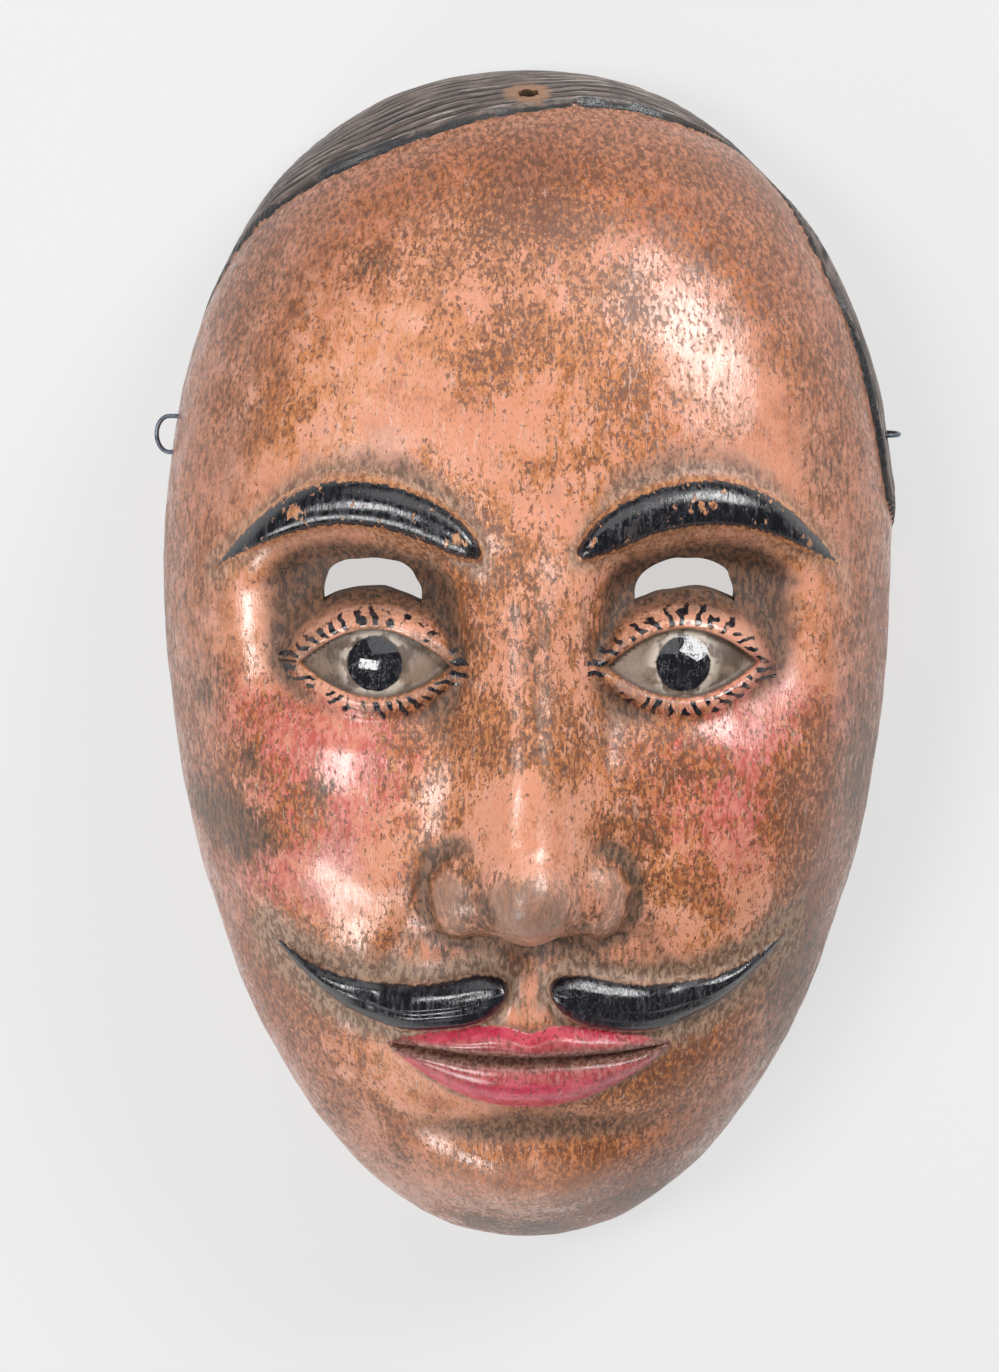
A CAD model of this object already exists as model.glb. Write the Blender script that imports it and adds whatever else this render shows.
"""A carved and painted wooden dance mask, lying on its back rim with the face up.

Lengths are millimetres in the form functions, as in the CAD model, and metres in every mesh.
"""

import math

import bpy
import numpy as np
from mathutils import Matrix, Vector, kdtree


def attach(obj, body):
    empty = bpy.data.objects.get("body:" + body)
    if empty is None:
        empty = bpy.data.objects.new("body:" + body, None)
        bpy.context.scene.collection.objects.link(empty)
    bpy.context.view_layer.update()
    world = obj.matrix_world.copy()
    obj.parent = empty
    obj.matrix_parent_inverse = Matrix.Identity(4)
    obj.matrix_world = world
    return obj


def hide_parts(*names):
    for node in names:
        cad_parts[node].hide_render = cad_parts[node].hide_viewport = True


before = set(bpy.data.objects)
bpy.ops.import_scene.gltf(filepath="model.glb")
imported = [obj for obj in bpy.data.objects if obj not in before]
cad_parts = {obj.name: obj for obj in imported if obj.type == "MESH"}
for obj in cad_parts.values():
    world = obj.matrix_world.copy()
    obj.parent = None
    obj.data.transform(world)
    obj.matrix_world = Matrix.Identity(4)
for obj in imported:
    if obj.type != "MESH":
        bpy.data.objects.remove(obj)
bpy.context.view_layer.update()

MM = 0.001
TURN = 2 * math.pi

# The block and its features, as in the CAD model
MASK_HEIGHT, MASK_WIDTH, SHELL_DEPTH = 210, 130, 58
DOME_POWER, OUTLINE_POWER, EGG = 2.5, 2.15, 0.13
FRONT_WALL, RIM_WALL, LEAST_WALL = 13, 9, 4.5
HAIR_RISE = 1.5
NOSE_RISE, BROW_RISE, SOCKET_DEPTH = 18, 3, 8.5
LID_RISE, MOUSTACHE_RISE, LIP_RISE = 1.5, 3, 3.4
SLIT_WIDTH, SLIT_HEIGHT, SLIT_ARCH = 17, 5, 2
CORD_HOLE_DIAMETER, CORD_HOLE_REACH, CORD_HOLE_START = 3.6, 22, 5.5
CORD_HOLE_PLACE, CORD_HOLE_DIP = 75, 37
WIRE_DIAMETER, LOOP_SPAN, LOOP_STANDOFF, LOOP_ROUNDNESS, LEG_DEPTH = 0.8, 6.4, 2, 0.7, 6
LOOP_Y, LOOP_Z, WIRE_CLEARANCE = 41, 10, 0.3

HALF_WIDTH = MASK_WIDTH / 2
HALF_HEIGHT = (MASK_HEIGHT - HAIR_RISE) / 2
DOME_Y = -HAIR_RISE / 2
CHIN_Y = DOME_Y - HALF_HEIGHT
HAIRLINE_Y = DOME_Y + 0.87 * HALF_HEIGHT
THIRD = (HAIRLINE_Y - CHIN_Y) / 3
FIFTH = MASK_WIDTH / 5
BROW_Y = HAIRLINE_Y - THIRD
NOSE_BASE_Y = BROW_Y - THIRD
MOUTH_Y = NOSE_BASE_Y - THIRD / 3
EYE_X, EYE_Y = FIFTH, BROW_Y - 0.3 * THIRD
SLIT_X, SLIT_Y = 1.02 * FIFTH, EYE_Y + 0.225 * THIRD

# Mesh densities
COLUMNS = 176
ROWS_PER_STOP_ROW = 4
HAIR_ROWS, JAW_ROWS = 78, 12
HOLLOW_STEP = 2


def mix(a, b, share):
    return a + (b - a) * share


def smooth(low, high, v):
    t = np.clip((v - low) / (high - low), 0, 1)
    return t * t * (3 - 2 * t)


def arch(v):
    return np.maximum(0, 1 - v * v)


def hump(a, b=0):
    return np.exp(-a * a - b * b)


def half_dome(a, b):
    return np.sqrt(np.maximum(0, 1 - a * a - b * b))


def smooth_max(a, b, soft):
    d = np.maximum(soft - np.abs(a - b), 0) / soft
    return np.maximum(a, b) + d * d * soft / 4


def blend(a, b, soft):
    fillet = np.minimum(soft, np.maximum(a, b))
    return np.where(fillet > 1e-6, smooth_max(a, b, np.maximum(fillet, 1e-6)), 0)


def lumps(points, size, seed):
    """A smooth random field of about -1 to 1, with lumps of that size in mm."""
    random = np.random.default_rng(seed)
    total = np.zeros(len(points))
    waves = 16
    for _ in range(waves):
        way = random.normal(size=3)
        way /= np.linalg.norm(way)
        length = size * random.uniform(1.4, 3.2)
        total += np.sin(points @ way * (TURN / length) + random.uniform(0, TURN))
    return total / math.sqrt(waves)


# Brows

BROW_INNER, BROW_PEAK, BROW_OUTER = 0.3 * FIFTH, 1.16 * FIFTH, 2.08 * FIFTH
BROW_ARCH, BROW_DROOP, BROW_HALF = 0.125 * THIRD, 0.2 * THIRD, 0.062 * THIRD
BROW_BLUNT = 0.2


def brow_line(u):
    inward = (BROW_PEAK - u) / (BROW_PEAK - BROW_INNER)
    outward = (u - BROW_PEAK) / (BROW_OUTER - BROW_PEAK)
    fall = np.where(u < BROW_PEAK, BROW_ARCH * inward**2, BROW_DROOP * outward**2)
    return BROW_Y + BROW_ARCH - fall


def brow_half(u):
    along = np.clip((u - BROW_INNER) / (BROW_OUTER - BROW_INNER), 0, 1)
    blunt_end = np.sqrt(arch(1 - np.minimum(1, along / BROW_BLUNT)))
    return BROW_HALF * blunt_end * np.cos(math.pi / 2 * along**3)


def brow_inside(u, y):
    """How far inside the brow's outline a point is, in mm."""
    ends = 2.2 * np.minimum(u - BROW_INNER, BROW_OUTER - u)
    return np.minimum(brow_half(u) - np.abs(y - brow_line(u)), ends)


def brow_relief(u, y):
    half = np.maximum(brow_half(u), 1e-3)
    tapered = smooth(0, 0.8 * BROW_HALF, half)
    across = (y - brow_line(u)) / (1.12 * half)
    return BROW_RISE * tapered * arch(across) ** 0.62


# Eyes

EYEBALL_HALF, EYEBALL_HIGH, EYEBALL_RISE, EYEBALL_FALL = 0.7 * FIFTH, 0.185 * THIRD, 1.2, 8.5


def socket_relief(u, y):
    below = brow_line(u) - brow_half(u) - y
    across = smooth(0.3 * FIFTH, 0.66 * FIFTH, u) * (1 - smooth(1.4 * FIFTH, 2.05 * FIFTH, u))
    down = smooth(-0.02 * THIRD, 0.12 * THIRD, below) * (1 - smooth(0.2 * THIRD, 0.6 * THIRD, below))
    ex = (u - EYE_X) / EYEBALL_HALF
    ey = (y - EYE_Y) / EYEBALL_HIGH
    eyeball = EYEBALL_RISE - EYEBALL_FALL * (ex * ex + ey * ey)
    return smooth_max(-SOCKET_DEPTH * across * down, eyeball, 2)


LID_HALF, LID_UP, LID_DOWN = 0.5 * FIFTH, 0.1 * THIRD, 0.08 * THIRD


def eye_inside(u, y):
    """How far inside the opening between the lids a point is, in mm."""
    open_ = 1 - ((u - EYE_X) / LID_HALF) ** 2
    return np.minimum(EYE_Y + LID_UP * open_ - y, y - EYE_Y + LID_DOWN * open_)


def lid_relief(u, y):
    side = np.abs(u - EYE_X) / LID_HALF
    inside = eye_inside(u, y)
    on_lid = 1 - smooth(1, 1.4, side)
    brim = LID_RISE * on_lid * hump((inside + 1.7) / 1.7)
    recess = -LID_RISE * smooth(-0.35, 0.7, inside)
    fold_y = EYE_Y + LID_UP * (1 - side**2) + 5.6
    fold = -0.7 * (1 - smooth(0.95, 1.25, side)) * hump((y - fold_y) / 0.9)
    return brim + recess + fold


# Nose

NOSE_TIP_Y = NOSE_BASE_Y + 0.13 * THIRD
NOSE_ROOT_HALF, NOSE_TIP_HALF = 0.24 * FIFTH, 0.46 * FIFTH
NOSE_ROOT_RISE, NOSE_RIDGE_RISE = 0.17, 0.93
BALL_HALF, BALL_HIGH, BALL_FILLET = 0.32 * FIFTH, 0.15 * THIRD, 5
WING_X, WING_Y = 0.45 * FIFTH, NOSE_BASE_Y + 0.11 * THIRD
WING_HALF, WING_HIGH, WING_RISE, WING_FILLET = 0.22 * FIFTH, 0.12 * THIRD, 0.4, 6
CREASE_DEPTH = 0.9


def nose_relief(u, y):
    along = (BROW_Y - y) / (BROW_Y - NOSE_TIP_Y)
    length = np.clip(along, 0, 1)
    under = np.clip((NOSE_TIP_Y - y) / (NOSE_TIP_Y - NOSE_BASE_Y), 0, 1)
    half = mix(NOSE_ROOT_HALF, NOSE_TIP_HALF, length)
    crest = mix(NOSE_ROOT_RISE, NOSE_RIDGE_RISE, length**1.3) * smooth(-0.25, 0.15, along)
    ridge = crest * np.sqrt(arch(under)) * np.exp(-((u / half) ** mix(2.4, 2, length)))
    ball = half_dome(u / BALL_HALF, (y - NOSE_TIP_Y) / BALL_HIGH)
    wx = (u - WING_X) / WING_HALF
    wy = (y - WING_Y) / WING_HIGH
    around = np.sqrt(wx * wx + wy * wy)
    wing = WING_RISE * arch(around) ** 0.6
    crease = -CREASE_DEPTH * hump((around - 1.1) / 0.22) * smooth(-0.2, 0.9, wx + 0.5 * wy)
    middle = blend(NOSE_RISE * ridge, NOSE_RISE * ball, BALL_FILLET)
    return blend(middle, NOSE_RISE * wing, WING_FILLET) + crease


# Flesh: middle x and y, half sizes and rise of each soft form

FLESH = (
    (1.5 * FIFTH, NOSE_BASE_Y + 0.26 * THIRD, 0.85 * FIFTH, 0.34 * THIRD, 5),
    (0, MOUTH_Y + 0.02 * THIRD, 0.95 * FIFTH, 0.28 * THIRD, 5),
    (0, MOUTH_Y - 0.45 * THIRD, 0.85 * FIFTH, 0.2 * THIRD, 6.5),
    (0, MOUTH_Y - 0.22 * THIRD, 0.75 * FIFTH, 0.06 * THIRD, -2.6),
    (0, NOSE_BASE_Y - 0.12 * THIRD, 0.13 * FIFTH, 0.11 * THIRD, -1.2),
    (2.1 * FIFTH, BROW_Y + 0.25 * THIRD, 0.35 * FIFTH, 0.3 * THIRD, -1.6),
)


def flesh_relief(u, y):
    top_y, low_y = NOSE_BASE_Y + 0.14 * THIRD, MOUTH_Y - 0.05 * THIRD
    down = (top_y - y) / (top_y - low_y)
    aside = (u - mix(0.66 * FIFTH, 1.2 * FIFTH, down)) / (0.15 * FIFTH)
    total = -1.6 * arch(2 * down - 1) * hump(aside)
    for x, mid, half_x, half_y, rise in FLESH:
        total = total + rise * hump((u - x) / half_x, (y - mid) / half_y)
    return total


# Lips

LIPS_HALF, LIP_TOP, LIP_BOTTOM = 0.95 * FIFTH, 0.095 * THIRD, 0.145 * THIRD


def mouth_line(u):
    return MOUTH_Y + 0.02 * THIRD * np.minimum(1, u / LIPS_HALF) ** 2


def lip_edges(u):
    open_ = arch(u / LIPS_HALF)
    line = mouth_line(u)
    top = line + LIP_TOP * open_ * (1 - 0.25 * hump(u / (0.12 * FIFTH)))
    return open_, line, top, line - LIP_BOTTOM * open_


def lips_inside(u, y):
    _, _, top, bottom = lip_edges(u)
    return np.minimum(top - y, y - bottom)


def lip_relief(u, y):
    open_, line, top, bottom = lip_edges(u)
    span = np.where(y > line, top - line, line - bottom)
    share = np.clip(np.abs(y - line) / np.maximum(span, 1e-3), 0, 1)
    parting = -0.9 * hump((y - line) / 0.75) * smooth(0, 0.25, open_)
    return LIP_RISE * np.sqrt(open_) * arch(2 * share - 1) ** 0.8 + parting


# Moustache

STACHE_INNER, STACHE_OUTER = 0.13 * FIFTH, 1.72 * FIFTH
STACHE_HALF = 0.068 * THIRD
STACHE_Y = MOUTH_Y + 0.19 * THIRD


def stache_share(u):
    return (u - STACHE_INNER) / (STACHE_OUTER - STACHE_INNER)


def stache_line(u):
    along = np.clip(stache_share(u), 0, 1)
    dip = 0.065 * THIRD * np.sin(math.pi * along)
    return STACHE_Y - dip + 0.11 * THIRD * along**4


def stache_thickness(u):
    along = np.clip(stache_share(u), 0, 1)
    near_nose = np.sqrt(arch(1 - np.minimum(1, along / 0.18)))
    return near_nose * np.cos(math.pi / 2 * along**1.6)


def stache_inside(u, y):
    """How far inside the moustache's outline a point is, in mm."""
    half = STACHE_HALF * stache_thickness(u)
    ends = 1.5 * np.minimum(u - STACHE_INNER, STACHE_OUTER - u)
    slope = 1 + 0.5 * np.clip(stache_share(u), 0, 1) ** 3
    return np.minimum((half - np.abs(y - stache_line(u))) / slope, ends)


def stache_relief(u, y):
    along = stache_share(u)
    thickness = np.where((along > 0) & (along < 1), stache_thickness(u), 0)
    half = STACHE_HALF * np.maximum(thickness, 0.01)
    across = (y - stache_line(u)) / half
    body = MOUSTACHE_RISE * smooth(0, 0.5, thickness) * arch(across / 1.08) ** 0.6
    hairs = 0.14 * np.cos(TURN * 2.4 * across) * smooth(0.2, 0.6, thickness) * arch(across)
    border = -0.55 * hump((stache_inside(u, y) + 1.5) / 1.1)
    return body + hairs + border


# The dome


def egg_width(y):
    return HALF_WIDTH * (1 + EGG * (y - DOME_Y) / HALF_HEIGHT) / EGG_WIDEST


_up = np.linspace(0, 1, 101)
EGG_WIDEST = np.max((1 + EGG * _up) * (1 - _up**OUTLINE_POWER) ** (1 / OUTLINE_POWER))


def dome_height(out):
    return np.maximum(0, 1 - out**DOME_POWER) ** (1 / DOME_POWER)


def spread(x, y):
    side = (np.abs(x) / egg_width(y)) ** OUTLINE_POWER
    up = (np.abs(y - DOME_Y) / HALF_HEIGHT) ** OUTLINE_POWER
    return (side + up) ** (1 / OUTLINE_POWER)


def outline_share(turn):
    total = np.abs(np.cos(turn)) ** OUTLINE_POWER + np.abs(np.sin(turn)) ** OUTLINE_POWER
    return total ** (-1 / OUTLINE_POWER)


def face_share(x, y):
    """1 on the face, fading to 0 before the rim."""
    return 1 - smooth(0.82, 0.97, spread(x, y))


def face_relief(x, y):
    u = np.abs(x)
    total = (
        socket_relief(u, y)
        + lid_relief(u, y)
        + brow_relief(u, y)
        + nose_relief(u, y)
        + flesh_relief(u, y)
        + lip_relief(u, y)
        + stache_relief(u, y)
    )
    return face_share(x, y) * total


def dome_xy(turn, tilt):
    radius = np.sin(tilt) * outline_share(turn)
    y = DOME_Y + HALF_HEIGHT * radius * np.sin(turn)
    return egg_width(y) * radius * np.cos(turn), y


RIM_TILT, JAW_TILT = math.pi / 2, math.radians(76)

HAIR_TOP, HAIR_RIGHT, HAIR_RIGHT_FROM, HAIR_TOP_FROM = np.radians([68.5, 77.3, 64, 106])
PARTING, PARTING_HALF, PARTING_RISE = np.radians([56, 8.5, 11])
HAIR_RIGHT_END, HAIR_RIGHT_TAPER, HAIR_LEFT_END, HAIR_LEFT_TAPER = np.radians([11, 7, 153, 43])


def hairline(turn):
    t = np.mod(turn, TURN)
    parting = PARTING_RISE * hump((t - PARTING) / PARTING_HALF)
    middle = mix(HAIR_RIGHT, HAIR_TOP, smooth(HAIR_RIGHT_FROM, HAIR_TOP_FROM, t)) + parting
    right = 1 - smooth(HAIR_RIGHT_END, HAIR_RIGHT_END + HAIR_RIGHT_TAPER, t)
    left = smooth(HAIR_LEFT_END - HAIR_LEFT_TAPER, HAIR_LEFT_END, t)
    return mix(middle, RIM_TILT, np.maximum(right, left))


def flank_start(turn):
    return np.minimum(hairline(turn), JAW_TILT)


# Combed strands run side by side along the hairline, and one after another meets the rim.
STRAND_PITCH = math.radians(1.85)


def strand_phase(turn, tilt):
    t = np.mod(turn, TURN)
    wander = 0.20 * np.sin(4.3 * t + 1) + 0.11 * np.sin(13 * t) + 0.05 * np.sin(37 * t + 2)
    across = (tilt - hairline(turn)) / STRAND_PITCH
    return across + wander * smooth(0, 2, across)


def hair_relief(turn, tilt):
    start = hairline(turn)
    over = np.degrees(tilt - start)
    full = np.clip((RIM_TILT - start) / (RIM_TILT - JAW_TILT), 0, 1)
    phase = strand_phase(turn, tilt)
    each = np.floor(phase)
    depth = 0.75 + 0.2 * np.sin(7.3 * each + 1.1) + 0.12 * np.sin(2.2 * each + 9 * turn)
    groove = 1 - np.abs(np.sin(math.pi * phase)) ** 0.65
    tilted = 0.22 * (np.mod(phase, 1) - 0.5)
    rise = HAIR_RISE - 0.15 - depth * groove + tilted
    return np.where(over > 0, full * rise * smooth(0, 0.55, over), 0)


# The face's grid. Each stop is a height on the middle line, the rows up to it, and the line that its
# row follows.


def brow_row(u):
    return brow_line(np.clip(u, BROW_INNER, BROW_OUTER))


_edge = HALF_HEIGHT * math.sin(JAW_TILT)
STOPS = (
    (DOME_Y - _edge, 0, None),
    (MOUTH_Y - LIP_BOTTOM, 7, None),
    (MOUTH_Y, 4, mouth_line),
    (MOUTH_Y + LIP_TOP, 3, None),
    (STACHE_Y, 3, stache_line),
    (NOSE_BASE_Y, 4, None),
    (NOSE_TIP_Y, 4, None),
    (EYE_Y - EYEBALL_HIGH, 6, None),
    (EYE_Y + LID_UP, 8, None),
    (BROW_Y + BROW_ARCH, 6, brow_row),
    (BROW_Y + BROW_ARCH + BROW_HALF, 2, lambda u: brow_row(u) + BROW_HALF),
    (DOME_Y + _edge, 9, None),
)
STOP_ROWS = np.cumsum([s[1] for s in STOPS])
FACE_ROWS = int(STOP_ROWS[-1]) * ROWS_PER_STOP_ROW


def grid_direction(column, row, columns, rows):
    side = 2 * column / columns - 1
    u = mix(side, side**3, 0.38)
    y = np.interp(row / rows * STOP_ROWS[-1], STOP_ROWS, [s[0] for s in STOPS])
    v = np.arcsin((y - DOME_Y) / HALF_HEIGHT) / JAW_TILT
    p = u * np.sqrt(1 - v * v / 2)
    q = v * np.sqrt(1 - u * u / 2)
    return np.arctan2(q, p), np.minimum(1, np.hypot(p, q))


def face_grid():
    """Points of the face, as arrays of [row, column]: x, y, z and turn."""
    row, column = np.mgrid[0 : FACE_ROWS + 1, 0 : COLUMNS + 1].astype(float)
    turn, out = grid_direction(column, row, COLUMNS, FACE_ROWS)
    x, y = dome_xy(turn, out * flank_start(turn))
    inside = 1 - smooth(0.75, 0.95, spread(x, y))
    stop_at = STOP_ROWS * ROWS_PER_STOP_ROW
    pulls = []
    for (_, _, line), at in zip(STOPS, stop_at):
        pulls.append(line(np.abs(x[at])) - y[at] if line else np.zeros(COLUMNS + 1))
    pulls = np.array(pulls)
    drawn = np.array([np.interp(row[:, 0], stop_at, pulls[:, k]) for k in range(COLUMNS + 1)]).T
    y = y + inside * drawn
    z = SHELL_DEPTH * dome_height(spread(x, y)) + face_relief(x, y)
    return x, y, z, turn


def round_the_grid(columns, rows):
    low = [(i, 0) for i in range(columns)]
    right = [(columns, j) for j in range(rows)]
    high = [(i, rows) for i in range(columns, 0, -1)]
    left = [(0, j) for j in range(rows, 0, -1)]
    return low + right + high + left


def lace(faces, left, right):
    """Triangles between two runs that start side by side and end side by side, whatever their counts."""
    i = j = 0
    last_left, last_right = len(left) - 1, len(right) - 1
    while i < last_left or j < last_right:
        if (i + 1) * last_right <= (j + 1) * last_left:
            faces.append((left[i], left[i + 1], right[j]))
            i += 1
        else:
            faces.append((left[i], right[j + 1], right[j]))
            j += 1


def quads_between(faces, left, right):
    for i in range(len(left) - 1):
        faces.append((left[i], left[i + 1], right[i + 1], right[i]))


def sheet_faces(columns, rows, first, flip):
    i, j = np.meshgrid(np.arange(columns), np.arange(rows))
    a = first + j * (columns + 1) + i
    corners = np.stack([a, a + 1, a + columns + 2, a + columns + 1], -1).reshape(-1, 4)
    return (corners[:, ::-1] if flip else corners).tolist()


def hollow_grid(columns, rows):
    row, column = np.mgrid[0 : rows + 1, 0 : columns + 1].astype(float)
    turn, out = grid_direction(column, row, columns, rows)
    radius = np.sin(out * RIM_TILT) * outline_share(turn)
    y = DOME_Y + (HALF_HEIGHT - RIM_WALL) * radius * np.sin(turn)
    x = (egg_width(y) - RIM_WALL) * radius * np.cos(turn)
    ceiling = (SHELL_DEPTH - FRONT_WALL) * dome_height(np.sin(out * RIM_TILT))
    front = SHELL_DEPTH * dome_height(spread(x, y)) + face_relief(x, y)
    z = np.maximum(0, np.minimum(ceiling, front - LEAST_WALL))
    return x, y, z


def cavity_of(z, x, y):
    """How far each point of the face stands over its surroundings, in mm. Hollows are negative."""
    total = np.zeros_like(z)
    for reach in (3, 6):
        mean = np.zeros_like(z)
        count = 0
        for dj in (-reach, -reach // 2, 0, reach // 2, reach):
            for di in (-reach, -reach // 2, 0, reach // 2, reach):
                mean += np.roll(np.roll(z, dj, 0), di, 1)
                count += 1
        total += z - mean / count
    plain = SHELL_DEPTH * dome_height(spread(x, y))
    edge = np.zeros_like(z)
    edge[6:-6, 6:-6] = 1
    return total * edge * smooth(5, 12, plain)


def body_arrays():
    """The uncut body: points, faces, which faces are bare wood, and each point's turn, tilt and cavity."""
    x, y, z, turn = face_grid()
    cavity = cavity_of(z - SHELL_DEPTH * dome_height(spread(x, y)), x, y)
    points = [np.stack([x, y, z], -1).reshape(-1, 3)]
    turns = [turn.ravel()]
    tilts = [np.arcsin(np.clip(spread(x, y), 0, 1)).ravel()]
    cavities = [cavity.ravel()]
    faces = sheet_faces(COLUMNS, FACE_ROWS, 0, False)
    count = len(points[0])

    round_ = round_the_grid(COLUMNS, FACE_ROWS)
    edge = [j * (COLUMNS + 1) + i for i, j in round_]
    spokes = []
    edge_turns = np.array([turn[j, i] for i, j in round_])
    combed = hairline(edge_turns) < RIM_TILT - 1e-6
    for k, t in enumerate(edge_turns):
        rows = HAIR_ROWS if combed[k] else JAW_ROWS
        start = float(flank_start(np.array([t]))[0])
        tilt = mix(start, RIM_TILT, np.arange(1, rows + 1) / rows)
        along = np.full(rows, t)
        sx, sy = dome_xy(along, tilt)
        sz = SHELL_DEPTH * dome_height(np.sin(tilt))
        outward = np.stack([sx, sy - DOME_Y, sz], -1)
        outward /= np.linalg.norm(outward, axis=1)[:, None]
        rise = hair_relief(along, tilt)
        p = np.stack([sx, sy, sz + face_relief(sx, sy)], -1) + outward * rise[:, None]
        points.append(p)
        turns.append(along)
        tilts.append(tilt)
        cavities.append(np.where(rise > 0, 0.8 * (rise - HAIR_RISE + 0.5), 0))
        spokes.append([edge[k]] + list(range(count, count + rows)))
        count += rows
    for k, spoke in enumerate(spokes):
        following = spokes[(k + 1) % len(spokes)]
        (quads_between if len(spoke) == len(following) else lace)(faces, spoke, following)
    rim = [spoke[-1] for spoke in spokes]
    painted = len(faces)

    columns, rows = COLUMNS // HOLLOW_STEP, FACE_ROWS // HOLLOW_STEP
    hx, hy, hz = hollow_grid(columns, rows)
    inner = np.stack([hx, hy, hz], -1).reshape(-1, 3)
    gouges = 0.35 * np.abs(lumps(inner * (1, 0.45, 1), 7, 5)) + 0.15 * lumps(inner, 3, 6)
    deep = smooth(1.5, 6, inner[:, 2])
    inner[:, 2] = np.maximum(0, inner[:, 2] - gouges * deep)
    points.append(inner)
    for values in (turns, tilts, cavities):
        values.append(np.zeros(len(inner)))
    faces += sheet_faces(columns, rows, count, True)
    mouth = [count + j * (columns + 1) + i for i, j in round_the_grid(columns, rows)]
    lace(faces, mouth + mouth[:1], rim + rim[:1])

    points = np.concatenate(points)
    turns, tilts, cavities = (np.concatenate(v) for v in (turns, tilts, cavities))
    skin = np.arange(len(points)) < count
    uneven = 0.15 * lumps(points, 9, 1) + 0.06 * lumps(points, 3.2, 2)
    away = points - np.array([0, DOME_Y, 0])
    away /= np.maximum(np.linalg.norm(away, axis=1), 1e-6)[:, None]
    above = smooth(0.5, 6, points[:, 2])
    points = points + away * (uneven * above * skin)[:, None]
    bare = np.arange(len(faces)) >= painted
    return points, faces, bare, turns, tilts, cavities


def new_mesh(name, points, faces):
    mesh = bpy.data.meshes.new(name)
    mesh.from_pydata((np.asarray(points) * MM).tolist(), [], faces)
    mesh.validate()
    return mesh


def new_object(name, mesh):
    obj = bpy.data.objects.new(name, mesh)
    bpy.context.scene.collection.objects.link(obj)
    return obj


# Tools that cut the body


def slit_prism(side):
    half = SLIT_WIDTH / 2
    x = side * SLIT_X
    low, high = SLIT_Y - SLIT_HEIGHT / 2, SLIT_Y + SLIT_HEIGHT / 2
    corners = (
        ((x - half, low - SLIT_ARCH), (x, low + SLIT_ARCH), (x + half, low - SLIT_ARCH)),
        ((x + half, low - SLIT_ARCH), (x + half, high - SLIT_ARCH / 2), (x + half / 2, high)),
        ((x + half / 2, high), (x, high + SLIT_ARCH / 2), (x - half / 2, high)),
        ((x - half / 2, high), (x - half, high - SLIT_ARCH / 2), (x - half, low - SLIT_ARCH)),
    )
    outline = []
    steps = 18
    for a, b, c in corners:
        for k in range(steps):
            t = k / steps
            outline.append([(1 - t) ** 2 * a[i] + 2 * t * (1 - t) * b[i] + t * t * c[i] for i in (0, 1)])
    outline = np.array(outline)
    flat = np.column_stack([outline, np.zeros(len(outline))])
    outline += 0.2 * np.column_stack([lumps(flat, 2.2, 11), lumps(flat, 2.2, 12)])
    n = len(outline)
    points = [(*p, 12) for p in outline] + [(*p, 90) for p in outline]
    faces = [tuple(reversed(range(n))), tuple(range(n, 2 * n))]
    faces += [(k, (k + 1) % n, n + (k + 1) % n, n + k) for k in range(n)]
    return points, faces


def drill(start, end, diameter, sides):
    start, end = Vector(start), Vector(end)
    axis = (end - start).normalized()
    across = axis.orthogonal().normalized()
    other = axis.cross(across)
    turns = [TURN * k / sides for k in range(sides)]
    ring = [(across * math.cos(a) + other * math.sin(a)) * diameter / 2 for a in turns]
    points = [tuple(start + r) for r in ring] + [tuple(end + r) for r in ring]
    faces = [tuple(reversed(range(sides))), tuple(range(sides, 2 * sides))]
    faces += [(k, (k + 1) % sides, sides + (k + 1) % sides, sides + k) for k in range(sides)]
    return points, faces


def cord_hole_mouth():
    turn, tilt = math.pi / 2, math.radians(CORD_HOLE_PLACE)
    x, y = dome_xy(np.array([turn]), np.array([tilt]))
    z = SHELL_DEPTH * dome_height(np.array([math.sin(tilt)]))
    outward = Vector((float(x[0]), float(y[0]) - DOME_Y, float(z[0]))).normalized()
    return Vector((float(x[0]), float(y[0]), float(z[0]))) + outward * HAIR_RISE


def cord_hole():
    mouth = cord_hole_mouth()
    dip = math.radians(CORD_HOLE_DIP)
    inward = Vector((0, -math.cos(dip), -math.sin(dip)))
    start = mouth - inward * CORD_HOLE_START
    return drill(start, start + inward * CORD_HOLE_REACH, CORD_HOLE_DIAMETER, 28)


def wall_x(y, z):
    level = float(dome_height(np.array([z / SHELL_DEPTH]))[0])
    up = abs(y - DOME_Y) / HALF_HEIGHT
    return egg_width(y) * (level**OUTLINE_POWER - up**OUTLINE_POWER) ** (1 / OUTLINE_POWER)


LOOPS = (("tie_loop_left", -1, Vector((0, 1, 0))), ("tie_loop_right", 1, Vector((0, 0, 1))))


def leg_holes():
    bore = WIRE_DIAMETER + 2 * WIRE_CLEARANCE
    wall = wall_x(LOOP_Y, LOOP_Z)
    holes = []
    for _, side, across in LOOPS:
        for way in (-1, 1):
            leg = Vector((0, LOOP_Y, LOOP_Z)) + across * (way * LOOP_SPAN / 2)
            outer = Vector((side * (wall + HAIR_RISE + LOOP_STANDOFF), leg.y, leg.z))
            inner = Vector((side * (wall - LEG_DEPTH - WIRE_CLEARANCE), leg.y, leg.z))
            holes.append(drill(outer, inner, bore, 12))
    return holes


def joined(parts):
    points, faces = [], []
    for p, f in parts:
        first = len(points)
        points += list(p)
        faces += [tuple(first + i for i in face) for face in f]
    return points, faces


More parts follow.
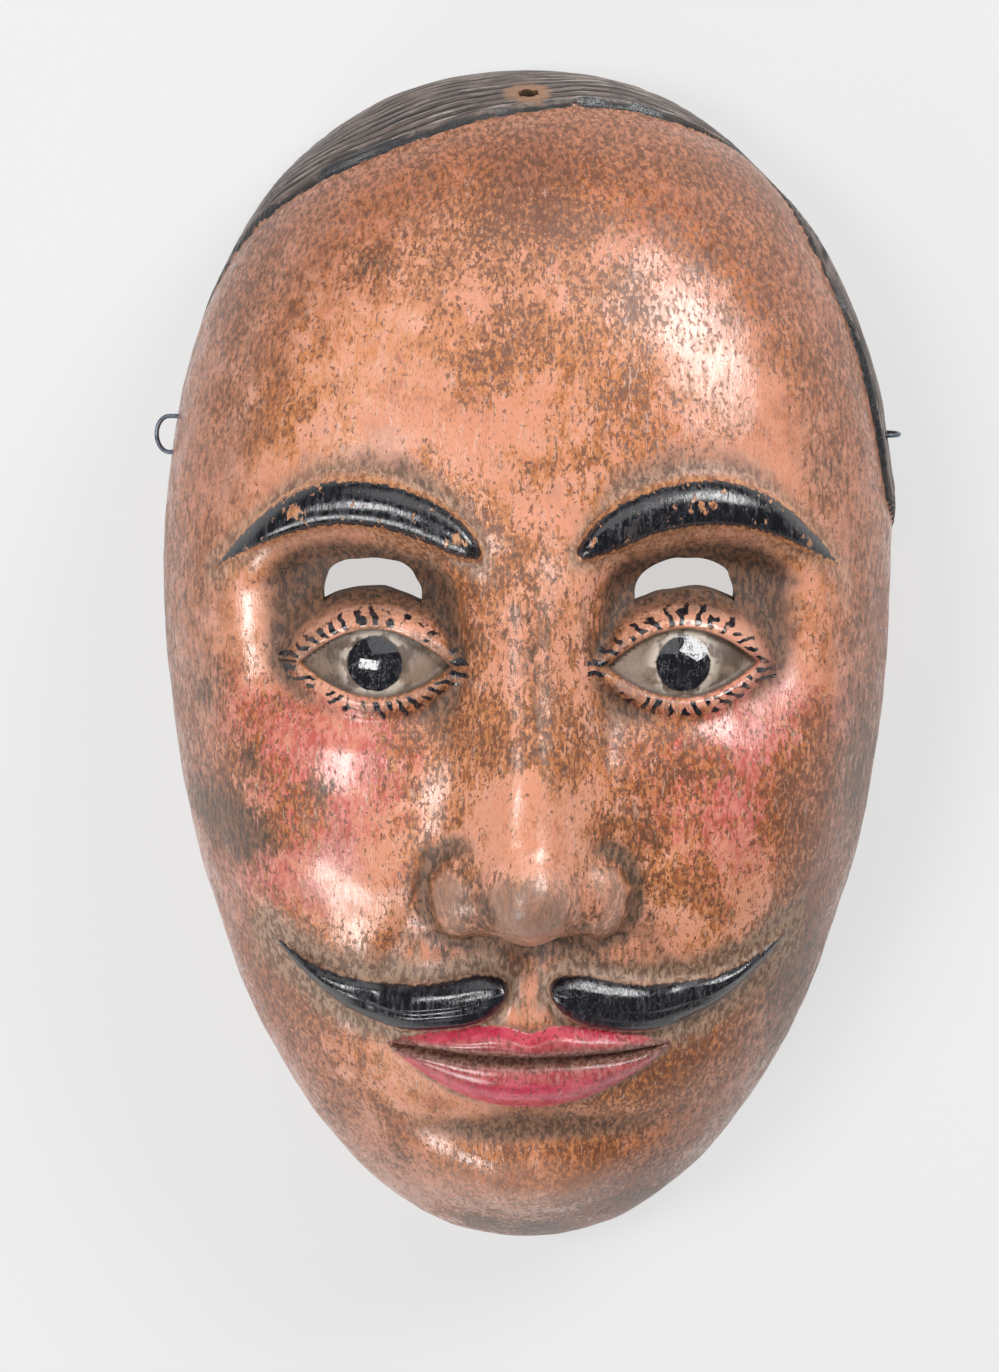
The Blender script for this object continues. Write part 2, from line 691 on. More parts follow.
def build_body():
    points, faces, bare, turns, tilts, cavities = body_arrays()
    mesh = new_mesh("mask_wood", points, faces)
    for slot_ in (painted_wood(), bare_wood(), cut_wood()):
        mesh.materials.append(slot_)
    mesh.polygons.foreach_set("material_index", bare.astype(np.int32))
    obj = new_object("mask_wood", mesh)

    cuts = joined([slit_prism(-1), slit_prism(1), cord_hole(), *leg_holes()])
    tools = new_object("cutters", new_mesh("cutters", *cuts))
    for slot_ in mesh.materials:
        tools.data.materials.append(slot_)
    tools.data.polygons.foreach_set("material_index", np.full(len(tools.data.polygons), 2, dtype=np.int32))
    cut = obj.modifiers.new("cut", "BOOLEAN")
    cut.operation = "DIFFERENCE"
    cut.solver = "MANIFOLD"
    cut.object = tools
    cut_mesh = bpy.data.meshes.new_from_object(obj.evaluated_get(bpy.context.evaluated_depsgraph_get()))
    obj.modifiers.clear()
    obj.data = cut_mesh
    cut_mesh.name = "mask_wood"
    bpy.data.objects.remove(tools)
    bpy.data.meshes.remove(mesh)

    n = len(cut_mesh.vertices)
    places = np.empty(n * 3)
    cut_mesh.vertices.foreach_get("co", places)
    places = places.reshape(-1, 3) / MM
    tree = kdtree.KDTree(len(points))
    for i, p in enumerate(points):
        tree.insert(p, i)
    tree.balance()
    nearest = np.array([tree.find(p)[1] for p in places])
    add_values(cut_mesh, places, turns[nearest], tilts[nearest], cavities[nearest])
    cut_mesh.shade_smooth()
    cut_mesh.set_sharp_from_angle(angle=math.radians(50))
    return obj


# Blotches: middle x and y, half sizes and strength, below zero where the paint is cleaner than elsewhere.
# The places are those of the wear and dirt on the real surface.

STAINS = (
    (-56, 0, 5, 7, 0.9),
    (-54, -22, 8, 6, 1.2),
    (-47, -26, 6, 5, 0.9),
    (-35, -15, 3, 3, 0.9),
    (-48, -11.5, 3, 3, 0.9),
    (-37, 8, 5, 4, 0.4),
    (-28, 73, 6, 5, 1.1),
    (-1, 80, 9, 5, 0.6),
    (-6, 61, 5, 4, 0.5),
    (0, 91, 5, 3, 0.4),
    (17, 71.5, 4, 3, 0.8),
    (18, 65, 4, 3, 0.8),
    (38, 70, 9, 13, 0.45),
    (-11, 51, 3, 4, 0.5),
    (-EYE_X + LID_HALF + 2, EYE_Y + 4, 3, 7, 0.7),
    (EYE_X - LID_HALF - 2, EYE_Y + 4, 3, 7, 0.7),
    (50, 36, 5, 7, 0.8),
    (58, -16, 6, 20, 0.8),
    (46, -54, 9, 20, 0.7),
    (-33, -52, 5, 5, 0.6),
    (25, -53, 5, 4, 0.6),
    (-35, -78, 6, 6, 0.6),
    (-23, -84, 5, 5, 0.7),
    (-8, -98, 6, 4, 1.0),
    (3, -100, 6, 4, 1.1),
    (20, -93, 6, 4, 0.9),
    (-1, NOSE_TIP_Y - 1, 7, 5, 1.6),
    (0, 8, 7, 26, 0.62),
    (-14, NOSE_TIP_Y, 7, 13, 0.8),
    (15, NOSE_TIP_Y, 8, 14, 0.8),
    (0, NOSE_BASE_Y - 3, 15, 6, 0.5),
    (-6, 72, 44, 26, -0.5),
    (0, -78, 24, 10, -0.5),
    (0, -48, 50, 12, 0.3),
)
BLUSHES = (
    (-36, -14, 17, 17, 0.9),
    (36, -12, 20, 18, 1.05),
    (-49, -5, 6, 7, 0.5),
    (-22, -7, 6, 7, 0.5),
    (-50, -31, 7, 5, 0.7),
    (-46, -48, 11, 18, 0.7),
    (46, -66, 10, 14, 0.5),
    (8, -90, 10, 8, 0.3),
)
CHIPS = ((-43.5, 49.7, 4.5, 3, 1.0), (33, 55, 2, 1.5, 0.8))
LASHES = 30
IRIS_RADIUS, IRIS_RISE = 4.7, 0.5
HAIR_MM_PER_RADIAN, COMB_MM_PER_RADIAN = 85, 80
CRACK_X, CRACK_Y, CRACK_HALF = 1.5, 40, 11.5


def blotch(forms, x, y):
    total = np.zeros_like(x)
    for mx, my, half_x, half_y, strength in forms:
        total += strength * hump((x - mx) / half_x, (y - my) / half_y)
    return total


def add_values(mesh, places, turns, tilts, cavities):
    """What the paint needs to know, as one number per point. Distances are in mm, positive inside."""
    x, y = places[:, 0], places[:, 1]
    u = np.abs(x)
    lash_turn = np.arctan2((y - EYE_Y) / (LID_UP + 3), -(u - EYE_X) / (LID_HALF + 2))
    eye = eye_inside(u, y)
    corner = np.abs(u - EYE_X) / LID_HALF
    eye_out = np.where(corner > 1, -np.hypot((corner - 1) * LID_HALF, y - EYE_Y), eye)
    hair = np.clip((tilts - hairline(turns)) * HAIR_MM_PER_RADIAN, -20, 40)
    crack_y = CRACK_Y + 0.9 * np.sin(x / 2.7) + 0.12 * x
    past_crack = np.maximum(0, np.abs(x - CRACK_X) - CRACK_HALF)
    values = {
        "brow": brow_inside(u, y),
        "stache": stache_inside(u, y),
        "lips": lips_inside(u, y),
        "parting": np.abs(y - mouth_line(u)),
        "eye": eye,
        "lid": eye_out,
        "iris": IRIS_RADIUS - np.hypot(u - EYE_X, y - EYE_Y - IRIS_RISE),
        "lash": lash_turn / TURN * LASHES,
        "hair": hair,
        "strand": strand_phase(turns, tilts),
        "comb": np.mod(turns, TURN) * COMB_MM_PER_RADIAN,
        "cavity": cavities,
        "socket": np.maximum(0, -socket_relief(u, y)) * face_share(x, y),
        "stain": blotch(STAINS, x, y),
        "blush": blotch(BLUSHES, x, y),
        "chip": blotch(CHIPS, x, y),
        "bored": np.linalg.norm(places - np.array(cord_hole_mouth()), axis=1),
        "flank": smooth(0.6, 1.0, spread(x, y)),
        "crack": np.abs(y - crack_y) + past_crack,
    }
    for name, value in values.items():
        layer = mesh.attributes.new(name, "FLOAT", "POINT")
        layer.data.foreach_set("value", np.clip(value, -200, 700).astype(np.float32))


# Materials


class Shader:
    """A material's nodes, made by short calls. An argument is a number, a colour or a node's output."""

    def __init__(self, name):
        self.material = bpy.data.materials.new(name)
        self.material.use_nodes = True
        self.tree = self.material.node_tree
        self.tree.nodes.clear()
        self.surface = self.node("ShaderNodeBsdfPrincipled")
        output = self.node("ShaderNodeOutputMaterial")
        self.tree.links.new(self.surface.outputs[0], output.inputs[0])
        self.place = self.node("ShaderNodeTexCoord").outputs["Object"]

    def node(self, kind):
        return self.tree.nodes.new(kind)

    def put(self, socket, value):
        if isinstance(value, bpy.types.NodeSocket):
            self.tree.links.new(value, socket)
        elif isinstance(value, tuple) and socket.type == "RGBA":
            socket.default_value = (*value[:3], 1)
        else:
            socket.default_value = value

    def math(self, operation, a, b=0.0):
        node = self.node("ShaderNodeMath")
        node.operation = operation
        self.put(node.inputs[0], a)
        self.put(node.inputs[1], b)
        return node.outputs[0]

    def add(self, a, b):
        return self.math("ADD", a, b)

    def mul(self, a, b):
        return self.math("MULTIPLY", a, b)

    def sub(self, a, b):
        return self.math("SUBTRACT", a, b)

    def both(self, *masks):
        result = masks[0]
        for mask in masks[1:]:
            result = self.mul(result, mask)
        return result

    def invert(self, a):
        return self.sub(1.0, a)

    def step(self, value, low, high):
        """0 under low, 1 over high, smooth between them. low may be the greater, for the reverse."""
        node = self.node("ShaderNodeMapRange")
        node.interpolation_type = "SMOOTHSTEP"
        flipped = low > high
        self.put(node.inputs["Value"], value)
        self.put(node.inputs["From Min"], min(low, high))
        self.put(node.inputs["From Max"], max(low, high))
        self.put(node.inputs["To Min"], 1.0 if flipped else 0.0)
        self.put(node.inputs["To Max"], 0.0 if flipped else 1.0)
        return node.outputs[0]

    def centred(self, noise, gain):
        return self.mul(self.sub(noise, 0.5), gain)

    def sum(self, *terms):
        """The sum of (value, weight) pairs."""
        total = self.mul(*terms[0])
        for term in terms[1:]:
            total = self.add(total, self.mul(*term))
        return total

    def rough_edge(self, value, noise, gain, low, high):
        """A step whose edge a noise makes uneven."""
        return self.step(self.add(value, self.mul(noise, gain)), low, high)

    def value(self, name):
        node = self.node("ShaderNodeAttribute")
        node.attribute_name = name
        return node.outputs["Fac"]

    def stretched(self, factors):
        node = self.node("ShaderNodeVectorMath")
        node.operation = "MULTIPLY"
        self.put(node.inputs[0], self.place)
        self.put(node.inputs[1], factors)
        return node.outputs[0]

    def combined(self, x, y):
        node = self.node("ShaderNodeCombineXYZ")
        self.put(node.inputs[0], x)
        self.put(node.inputs[1], y)
        return node.outputs[0]

    def noise(self, scale, detail=3.0, rough=0.55, bend=0.0, vector=None):
        """Scale is in lumps per metre: one number, or three for a noise stretched along the axes."""
        node = self.node("ShaderNodeTexNoise")
        if isinstance(scale, tuple):
            scale, vector = 1.0, self.stretched(scale)
        self.put(node.inputs["Vector"], vector or self.place)
        self.put(node.inputs["Scale"], scale)
        self.put(node.inputs["Detail"], detail)
        self.put(node.inputs["Roughness"], rough)
        self.put(node.inputs["Distortion"], bend)
        return node.outputs["Fac"]

    def mix(self, share, a, b):
        node = self.node("ShaderNodeMix")
        node.data_type = "RGBA"
        self.put(node.inputs[0], share)
        self.put(node.inputs[6], a)
        self.put(node.inputs[7], b)
        return node.outputs[2]

    def lerp(self, share, a, b):
        node = self.node("ShaderNodeMix")
        node.data_type = "FLOAT"
        self.put(node.inputs[0], share)
        self.put(node.inputs[2], a)
        self.put(node.inputs[3], b)
        return node.outputs[0]

    def bump(self, height, depth_mm, below=None):
        node = self.node("ShaderNodeBump")
        node.inputs["Strength"].default_value = 1
        node.inputs["Distance"].default_value = depth_mm * MM
        self.put(node.inputs["Height"], height)
        if below is not None:
            self.put(node.inputs["Normal"], below)
        return node.outputs[0]

    def finish(self, colour, rough, normal=None, **constants):
        self.put(self.surface.inputs["Base Color"], colour)
        self.put(self.surface.inputs["Roughness"], rough)
        if normal is not None:
            self.put(self.surface.inputs["Normal"], normal)
        for name, value in constants.items():
            self.surface.inputs[name.replace("_", " ")].default_value = value
        return self.material


# Paint. Two colours under one name are the dark and the light of its grain.

SALMON = (0.79, 0.335, 0.205), (0.87, 0.425, 0.295)
TAN = (0.71, 0.275, 0.155)
OCHRE = (0.71, 0.27, 0.090)
ROSE = (0.56, 0.09, 0.085), (0.76, 0.235, 0.205)
WASH = (0.30, 0.090, 0.024), (0.60, 0.225, 0.078)
SPECK = (0.16, 0.047, 0.016)
SCRATCH = (0.90, 0.56, 0.43)
FLANK = (0.14, 0.042, 0.017), (0.44, 0.145, 0.065)
FILM = (0.40, 0.19, 0.11), (0.74, 0.44, 0.33)
BLOTCH = (0.045, 0.023, 0.011), (0.19, 0.085, 0.036)
DIRT = (0.060, 0.030, 0.016), (0.26, 0.130, 0.072)
SOCKET_DIRT = (0.042, 0.020, 0.010), (0.175, 0.076, 0.036)
WORN_RIDGE = (0.86, 0.48, 0.35)
STACHE_BORDER = (0.20, 0.116, 0.072), (0.46, 0.305, 0.21)
BROW_BORDER = (0.21, 0.12, 0.07), (0.56, 0.35, 0.24)
SOOT = (0.15, 0.072, 0.038)
CRACK = (0.07, 0.035, 0.02)
LIP_RED = (0.56, 0.028, 0.075), (0.74, 0.10, 0.15)
LIP_PALE = (0.78, 0.34, 0.30)
LIP_WORN = (0.17, 0.062, 0.042), (0.44, 0.20, 0.14)
LIP_GROOVE = (0.12, 0.066, 0.045), (0.33, 0.205, 0.15)
LIP_SPOT = (0.20, 0.05, 0.04)
EYE_WHITE = (0.10, 0.062, 0.040), (0.25, 0.17, 0.12)
EYE_BRIGHT = (0.60, 0.51, 0.42)
EYE_EDGE = (0.07, 0.04, 0.025)
INK = (0.004, 0.004, 0.007), (0.016, 0.018, 0.028)
INK_FADED = (0.15, 0.11, 0.10)
CHIPPED = (0.30, 0.105, 0.035), (0.64, 0.28, 0.10)
HAIR = (0.010, 0.007, 0.006), (0.130, 0.088, 0.070)
HAIR_THREAD = (0.014, 0.010, 0.009)
HAIR_STREAK = (0.25, 0.175, 0.14)
HAIR_RUBBED = (0.50, 0.42, 0.39)
HOLE_WOOD = (0.30, 0.15, 0.075)
HAIR_EDGE = (0.010, 0.010, 0.014)

# Roughness. Two numbers are the glossiest and the dullest places of one layer.
VARNISH_ROUGH = 0.16, 0.34
INK_ROUGH = 0.07, 0.26
LIP_ROUGH = 0.12, 0.36
THREAD_ROUGH, GROOVE_ROUGH = (0.24, 0.48), 0.75


def over(s, colour, *coats):
    """Lays coats over a colour. Each is a mask, its share at most, and a colour or a pair of them."""
    for mask, share, paint in coats:
        coat = s.mix(s.grainy, *paint) if isinstance(paint[0], tuple) else paint
        colour = s.mix(s.mul(mask, share), colour, coat)
    return colour


def salmon(s):
    """Salmon paint, rosier on the cheeks, under an orange-brown wash laid on in fine dabs."""
    broad = s.noise(15, 2.0, 0.5)
    flank = s.value("flank")
    tan = s.sum((broad, 0.7), (s.mottle, 0.3))
    ochre = s.sum((s.clouds, 0.45), (s.mottle, 0.30), (s.dabs, 0.25))
    rosy = s.rough_edge(s.value("blush"), s.off, 2.4, 0.10, 0.85)
    cover = s.add(s.centred(s.clouds, 0.66), s.centred(broad, 0.42))
    s.cover = s.add(cover, s.sum((s.stain, 0.10), (flank, 0.05)))
    s.grain = s.sum((s.dabs, 0.60), (s.strokes, 0.25), (s.mottle, 0.15))
    dark = s.sum((s.dots, 0.7), (s.strokes, 0.3), (s.cover, 0.62))
    s.specks = s.step(dark, 0.542, 0.582)
    scratches = s.sum((s.strokes, 0.75), (s.fine, 0.25))
    return over(
        s,
        s.mix(s.step(s.clouds, 0.36, 0.62), *SALMON),
        (s.step(tan, 0.48, 0.62), 1, TAN),
        (s.step(ochre, 0.45, 0.54), 0.75, OCHRE),
        (rosy, 0.82, ROSE),
        (s.step(s.add(s.grain, s.cover), 0.49, 0.555), 0.84, WASH),
        (s.specks, 0.85, SPECK),
        (s.step(scratches, 0.585, 0.635), 0.55, SCRATCH),
        (s.rough_edge(flank, s.off, 1.4, 0.12, 0.85), 0.66, FLANK),
    )


def dirt(s, skin):
    """Dusty film by the hair, then olive-brown blotches and dirt in every hollow."""
    dusty = s.add(s.hair, s.add(s.mul(s.off, 20.0), s.centred(s.clouds, 16.0)))
    blotchy = s.add(s.centred(s.grain, 3.4), s.mul(s.cover, 0.5))
    s.blotched = s.step(s.add(s.mul(s.stain, 0.8), blotchy), 0.25, 0.9)
    cavity = s.value("cavity")
    s.deep = s.rough_edge(cavity, s.off, 3.2, -0.3, -1.9)
    s.shaded = s.rough_edge(s.value("socket"), s.off, 5.0, 2.0, 6.0)
    return over(
        s,
        skin,
        (s.step(dusty, -9.0, 0.0), 0.25, FILM),
        (s.blotched, 0.88, BLOTCH),
        (s.deep, 0.9, DIRT),
        (s.shaded, 0.9, SOCKET_DIRT),
        (s.rough_edge(cavity, s.off, 1.2, 0.5, 1.6), 0.3, WORN_RIDGE),
    )


def borders(s, skin):
    """Grey worn borders round the moustache and the brows, soot, and a crack over the nose."""
    frayed = s.add(s.centred(s.strokes, 3.0), s.centred(s.clouds, 3.0))
    frayed = s.add(s.mul(s.off, 5.4), frayed)
    s.border = s.mul(s.step(s.add(s.stache, frayed), -5.6, -2.2), 0.8)
    s.crack = s.rough_edge(s.value("crack"), s.ragged, 0.3, 0.42, 0.12)
    return over(
        s,
        skin,
        (s.border, 1, STACHE_BORDER),
        (s.step(s.add(s.brow, frayed), -4.6, -0.8), 0.5, BROW_BORDER),
        (s.rough_edge(s.fine, s.off, 0.5, 0.52, 0.62), 0.34, SOOT),
        (s.crack, 0.8, CRACK),
    )


def lips(s, colour):
    """Lips, vivid at their edges and worn to brown towards the groove between them."""
    inside = s.value("lips")
    parting = s.value("parting")
    s.on_lips = s.rough_edge(inside, s.ragged, 0.28, -0.25, 0.15)
    pale = s.sum((s.strokes, 0.6), (s.clouds, 0.4))
    middle = s.mul(s.rough_edge(parting, s.off, 6.0, 5.2, 3.2), s.step(inside, 0.9, 2.2))
    red = over(
        s,
        s.mix(s.step(s.mottle, 0.40, 0.60), *LIP_RED),
        (s.step(pale, 0.53, 0.59), 0.5, LIP_PALE),
        (middle, 0.5, LIP_WORN),
        (s.rough_edge(parting, s.ragged, 0.6, 2.6, 0.9), 0.88, LIP_GROOVE),
        (s.step(s.dots, 0.56, 0.62), 0.75, LIP_SPOT),
    )
    return s.mix(s.on_lips, colour, red)


def eyes(s, colour):
    """Dirty white, bright beside the iris. The iris and the lashes are painted with the ink."""
    eye = s.value("eye")
    iris = s.value("iris")
    lid = s.value("lid")
    s.in_eye = s.rough_edge(eye, s.ragged, 0.12, -0.1, 0.3)
    soiled = s.step(s.sum((s.mottle, 0.6), (s.dabs, 0.4)), 0.44, 0.58)
    near = s.mul(s.step(iris, -2.3, -0.1), s.step(s.noise(300, 2.0), 0.45, 0.55))
    white = over(
        s,
        s.mix(soiled, *EYE_WHITE),
        (near, 0.88, EYE_BRIGHT),
        (s.step(eye, 1.5, 0.0), 0.8, EYE_EDGE),
    )
    s.iris = s.mul(s.rough_edge(iris, s.ragged, 0.22, -0.1, 0.25), s.step(eye, 0.1, 0.5))
    bend = s.centred(s.noise(240, 2.0), 1.7)
    wave = s.math("FRACT", s.add(s.value("lash"), bend))
    s.lashes = s.both(
        s.step(s.math("ABSOLUTE", s.sub(wave, 0.5)), 0.27, 0.18),
        s.step(s.add(lid, s.centred(s.noise(420), 4.0)), -3.7, -3.1),
        s.step(lid, -0.3, -0.7),
        s.step(s.noise(260, 1.0), 0.41, 0.47),
    )
    return s.mix(s.in_eye, colour, white)


def ink(s, colour):
    """Black brows, moustache, iris and lashes, chipped along their edges and in a few patches."""
    chips = s.add(s.mul(s.ragged, 0.3), s.centred(s.strokes, 1.6))
    flaking = s.noise((900, 420, 700), 3.0, 0.6)
    patches = s.sum((s.noise(170, 3.0), 0.55), (flaking, 0.45))
    on_brow = s.both(
        s.step(s.add(s.brow, chips), 0.15, 0.5),
        s.rough_edge(s.brow, s.sub(patches, 0.60), 34.0, 2.4, 1.2),
        s.rough_edge(s.value("chip"), s.sub(flaking, 0.5), 3.0, 0.62, 0.42),
    )
    faded = s.sum((s.strokes, 0.6), (s.mottle, 0.4))
    black = over(
        s,
        s.mix(s.step(s.strokes, 0.42, 0.66), *INK),
        (s.step(faded, 0.565, 0.62), 0.3, INK_FADED),
    )
    bare = s.mul(s.step(s.brow, -0.9, 0.2), s.invert(on_brow))
    colour = over(s, colour, (bare, 0.75, CHIPPED))
    s.black = s.rough_edge(s.stache, chips, 0.6, -0.1, 0.25)
    for mask in (on_brow, s.iris, s.lashes):
        s.black = s.math("MAXIMUM", s.black, mask)
    return s.mix(s.black, colour, black)


def combed(s, along, across, detail):
    """A noise drawn out along the strands."""
    place = s.combined(s.mul(s.value("comb"), along), s.mul(s.value("strand"), across))
    return s.noise(1.0, detail, 0.6, vector=place)


def hair_cap(s, colour):
    """Combed strands, rubbed on their crests, with a ragged black line along their edge."""
    s.streaks = combed(s, 0.14, 2.6, 4.0)
    s.threads = combed(s, 0.10, 9.0, 3.0)
    ridge = s.math("ABSOLUTE", s.math("SINE", s.mul(s.value("strand"), math.pi)))
    s.crest = s.rough_edge(ridge, s.sub(s.streaks, 0.5), 0.9, 0.35, 0.9)
    rubbed = s.step(s.sum((s.mottle, 0.4), (s.threads, 0.6)), 0.52, 0.58)
    locks = over(
        s,
        s.mix(s.crest, *HAIR),
        (s.step(s.threads, 0.53, 0.42), 0.8, HAIR_THREAD),
        (s.mul(s.step(s.streaks, 0.50, 0.60), s.crest), 0.6, HAIR_STREAK),
        (s.mul(s.step(ridge, 0.78, 0.97), rubbed), 0.75, HAIR_RUBBED),
        (s.rough_edge(s.value("bored"), s.off, 5.0, 4.6, 3.0), 1, HOLE_WOOD),
    )
    rugged = s.centred(s.noise(300, 4.0, 0.6), 4.2)
    s.in_hair = s.rough_edge(s.hair, rugged, 0.8, -0.35, 0.05)
    colour = s.mix(s.in_hair, colour, locks)
    wide = s.sum((s.noise(60, 3.0), 0.6), (s.mottle, 0.4))
    wide = s.mul(s.step(wide, 0.44, 0.62), 2.0)
    within = s.step(s.sub(s.add(s.hair, s.mul(rugged, 0.7)), wide), 0.3, -0.5)
    s.line = s.mul(s.rough_edge(s.hair, rugged, 0.8, -0.45, -0.05), within)
    return over(s, colour, (s.line, 0.93, HAIR_EDGE))


def roughness(s):
    """Satin varnish, glossy black, dull dirt and hair."""
    varnish = s.step(s.sum((s.strokes, 0.5), (s.mottle, 0.5)), 0.42, 0.60)
    rough = s.lerp(varnish, *VARNISH_ROUGH)
    for mask, value in (
        (s.mul(s.specks, 0.8), 0.45),
        (s.mul(s.blotched, 0.7), 0.42),
        (s.deep, 0.66),
        (s.shaded, 0.72),
        (s.mul(s.border, 0.9), 0.58),
        (s.on_lips, s.lerp(s.mottle, *LIP_ROUGH)),
        (s.in_eye, 0.5),
        (s.black, s.lerp(s.step(s.strokes, 0.40, 0.58), *INK_ROUGH)),
        (s.iris, 0.06),
        (s.in_hair, s.lerp(s.crest, GROOVE_ROUGH, s.lerp(s.threads, *THREAD_ROUGH))),
        (s.line, 0.32),
    ):
        rough = s.lerp(mask, rough, value)
    return rough


def relief(s):
    """Brush strokes, the edges of the black paint and the fine threads of the hair, as bumps."""
    height = s.sum((s.strokes, 0.55), (s.fine, 0.3), (s.dabs, 0.35))
    normal = s.bump(s.mul(height, s.invert(s.iris)), 0.11)
    chipped = s.sum((s.black, 0.6), (s.specks, -0.4), (s.crack, -1.5))
    normal = s.bump(chipped, 0.08, normal)
    strands = s.sum((s.threads, 0.6), (s.streaks, 0.6))
    return s.bump(s.mul(s.in_hair, strands), 0.35, normal)


def painted_wood():
    """The mask's paint, from the skin up. What later steps need is kept on the shader."""
    s = Shader("mask_paint")
    # Brush strokes and grain run up and down the face; the stain lies in fine dabs.
    s.strokes = s.noise((1300, 230, 700), 4.0, 0.6, 0.3)
    s.fine = s.noise((3800, 1100, 2600), 3.0, 0.6)
    s.dabs = s.noise((720, 360, 600), 5.0, 0.72, 0.8)
    s.dots = s.noise((1500, 950, 1300), 3.0, 0.6)
    s.mottle = s.noise(150, 5.0, 0.66, 0.4)
    s.clouds = s.noise(38, 3.0, 0.55)
    s.ragged = s.centred(s.noise(700, 4.0, 0.65), 3.0)
    grit = s.noise((1250, 520, 950), 4.0, 0.65, 0.3)
    s.grainy = s.step(grit, 0.44, 0.56)
    s.off = s.sub(s.mottle, 0.5)
    s.stain = s.value("stain")
    s.hair = s.value("hair")
    s.brow = s.value("brow")
    s.stache = s.value("stache")
    colour = borders(s, dirt(s, salmon(s)))
    colour = hair_cap(s, ink(s, eyes(s, lips(s, colour))))
    return s.finish(colour, roughness(s), relief(s), Specular_IOR_Level=0.9)


def wood_shader(name, pale, dark, rough):
    s = Shader(name)
    grain = s.noise((620, 60, 620), 4.0, 0.6, 0.6)
    pores = s.noise((2600, 260, 2600), 3.0, 0.6)
    grime = s.noise(42, 5.0, 0.62)
    colour = s.mix(s.step(grain, 0.36, 0.66), pale, dark)
    colour = s.mix(s.both(s.step(pores, 0.56, 0.7), 0.55), colour, tuple(0.45 * c for c in dark))
    colour = s.mix(s.both(s.step(grime, 0.5, 0.68), 0.6), colour, (0.085, 0.05, 0.03))
    normal = s.bump(s.add(s.mul(grain, 0.6), s.mul(pores, 0.4)), 0.25)
    return s.finish(colour, s.lerp(grime, rough - 0.08, rough + 0.08), normal)


def bare_wood():
    return wood_shader("bare_wood", (0.50, 0.31, 0.17), (0.33, 0.18, 0.09), 0.72)


def cut_wood():
    return wood_shader("cut_wood", (0.20, 0.115, 0.065), (0.10, 0.055, 0.03), 0.75)


def wire_metal():
    s = Shader("tie_wire")
    tarnish = s.noise(900, 4.0, 0.6)
    colour = s.mix(s.step(tarnish, 0.4, 0.65), (0.20, 0.24, 0.29), (0.085, 0.09, 0.10))
    rough = s.lerp(tarnish, 0.32, 0.58)
    return s.finish(colour, rough, s.bump(tarnish, 0.03), Metallic=0.85)


# Wire loops

WIRE_SIDES, LEG_STEPS, BEND_STEPS = 14, 8, 32


def loop_points(side, across):
    wall = side * wall_x(LOOP_Y, LOOP_Z)
    radius = LOOP_SPAN / 2
    bulge = LOOP_ROUNDNESS * radius
    bend = HAIR_RISE + LOOP_STANDOFF - WIRE_DIAMETER / 2 - bulge
    centre = Vector((wall, LOOP_Y, LOOP_Z))
    out = Vector((side, 0, 0))
    legs = [centre + out * mix(-LEG_DEPTH, bend, k / LEG_STEPS) for k in range(LEG_STEPS)]
    points = [p - across * radius for p in legs]
    for k in range(BEND_STEPS + 1):
        angle = math.pi * k / BEND_STEPS - math.pi / 2
        points.append(centre + out * (bend + bulge * math.cos(angle)) + across * (radius * math.sin(angle)))
    return points + [p + across * radius for p in reversed(legs)]


def tube(points, radius, sides, flat_way):
    """A tube along points that lie in one plane, flat_way being square to that plane."""
    rings, faces = [], []
    n = len(points)
    for k, p in enumerate(points):
        along = (points[min(k + 1, n - 1)] - points[max(k - 1, 0)]).normalized()
        beside = along.cross(flat_way).normalized()
        for i in range(sides):
            a = TURN * i / sides
            rings.append(tuple(p + (beside * math.cos(a) + flat_way * math.sin(a)) * radius))
    for k in range(n - 1):
        for i in range(sides):
            a, b = k * sides + i, k * sides + (i + 1) % sides
            faces.append((a, b, b + sides, a + sides))
    faces.append(tuple(reversed(range(sides))))
    faces.append(tuple(range((n - 1) * sides, n * sides)))
    return rings, faces


def build_loop(name, side, across):
    flat_way = Vector((1, 0, 0)).cross(across).normalized()
    points, faces = tube(loop_points(side, across), WIRE_DIAMETER / 2, WIRE_SIDES, flat_way)
    mesh = new_mesh(name + "_wire", points, faces)
    mesh.materials.append(wire)
    mesh.shade_smooth()
    obj = new_object(name + "_wire", mesh)
    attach(obj, "root")
    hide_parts(name)
    return obj


wire = wire_metal()
body = build_body()
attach(body, "root")
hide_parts("mask_body")
for loop in LOOPS:
    build_loop(*loop)


# Stage, light and camera

SCENE = bpy.context.scene
FLOOR_HALF, FLOOR_Z, FLOOR_GLOW = 2, -0.0004, 0.60
WORLD_LIGHT = 0.13
LIGHT_AIM = Vector((0, 0, 0.045))
CAMERA_AIM = Vector((-0.005, -0.0013, 0.030))
CAMERA_TILT = math.radians(8)
CAMERA_DISTANCE, CAMERA_LENS = 0.78, 117.5


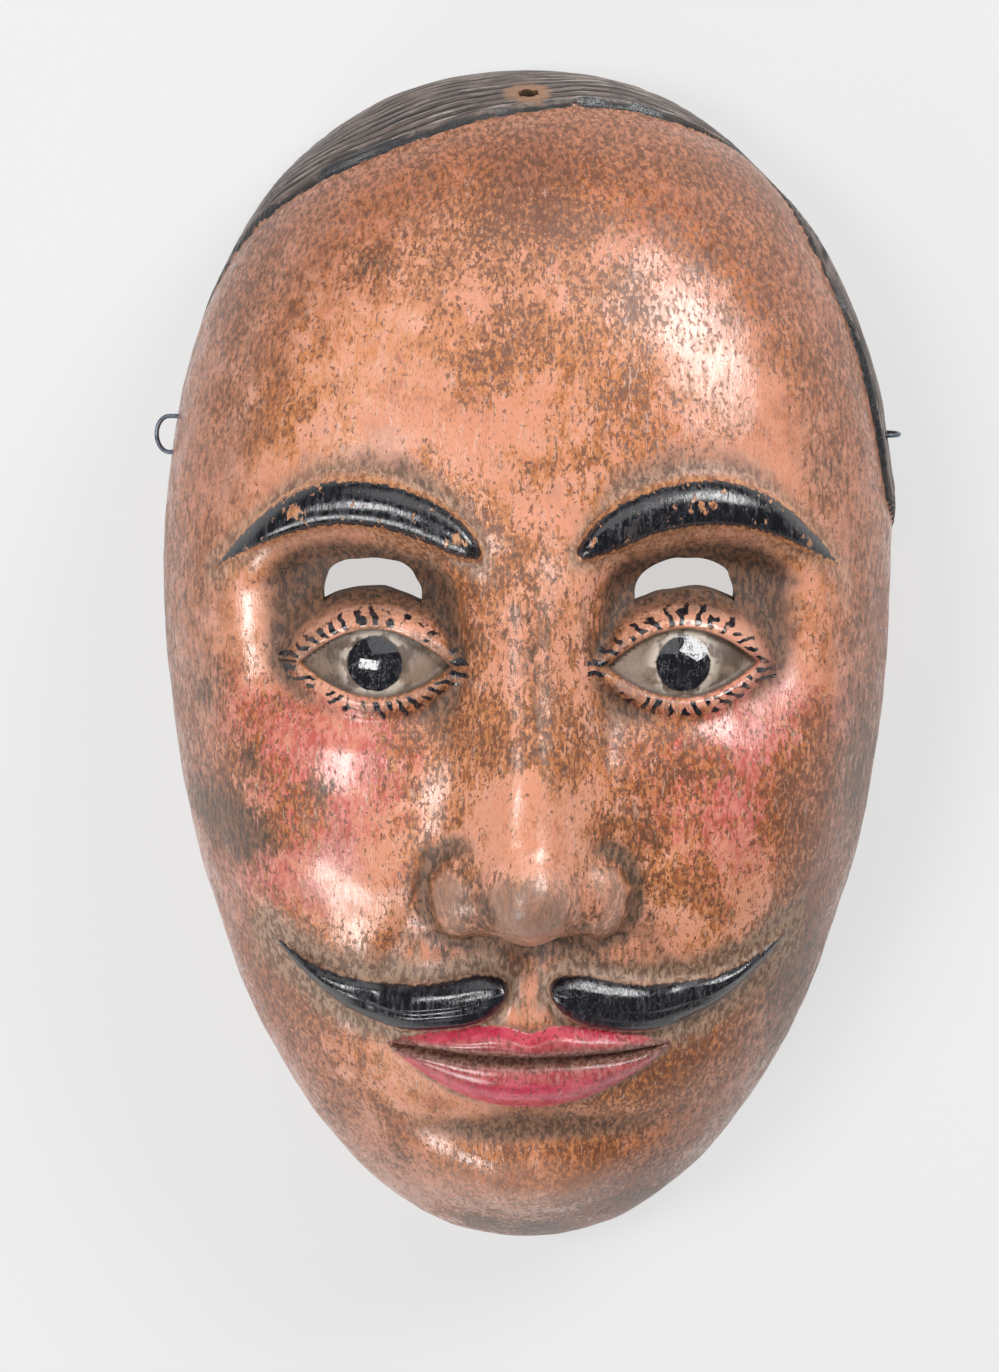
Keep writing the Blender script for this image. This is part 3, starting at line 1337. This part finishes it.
def build_floor():
    mesh = bpy.data.meshes.new("floor")
    corners = [(x * FLOOR_HALF, y * FLOOR_HALF, FLOOR_Z) for x, y in ((-1, -1), (1, -1), (1, 1), (-1, 1))]
    mesh.from_pydata(corners, [], [(0, 1, 2, 3)])
    s = Shader("floor_paper")
    tone = s.noise(3, 2.0)
    s.put(s.surface.inputs["Emission Color"], (1.0, 1.0, 1.0))
    s.surface.inputs["Emission Strength"].default_value = FLOOR_GLOW
    mesh.materials.append(s.finish(s.mix(tone, (0.22, 0.22, 0.22), (0.24, 0.24, 0.24)), 0.9))
    obj = new_object("floor", mesh)


def area_light(name, place, size, power):
    light = bpy.data.lights.new(name, "AREA")
    light.shape = "RECTANGLE"
    light.size, light.size_y = size
    light.energy = power
    obj = bpy.data.objects.new(name, light)
    SCENE.collection.objects.link(obj)
    obj.location = place
    obj.rotation_euler = (LIGHT_AIM - Vector(place)).to_track_quat("-Z", "Y").to_euler()


def build_camera():
    back = Vector((0, math.sin(CAMERA_TILT), math.cos(CAMERA_TILT)))
    camera = bpy.data.cameras.new("camera")
    camera.sensor_width = 36
    camera.lens = CAMERA_LENS
    obj = bpy.data.objects.new("camera", camera)
    SCENE.collection.objects.link(obj)
    obj.location = CAMERA_AIM + back * CAMERA_DISTANCE
    obj.rotation_euler = (-CAMERA_TILT, 0, 0)
    camera.clip_start = 0.01
    SCENE.camera = obj


build_floor()
build_camera()
area_light("upper_right", (0.55, 0.52, 0.56), (0.44, 0.34), 5.5)
area_light("left_window", (-0.50, 0.06, 0.80), (0.30, 0.32), 3.7)
area_light("low_left", (-0.50, -0.62, 0.50), (0.32, 0.32), 3.0)
area_light("top_soft", (-0.10, 0.85, 0.75), (1.0, 0.7), 2.7)
world = bpy.data.worlds.new("world")
world.use_nodes = True
world.node_tree.nodes["Background"].inputs[0].default_value = (1, 1, 1, 1)
world.node_tree.nodes["Background"].inputs[1].default_value = WORLD_LIGHT
SCENE.world = world
SCENE.view_settings.view_transform = "Standard"
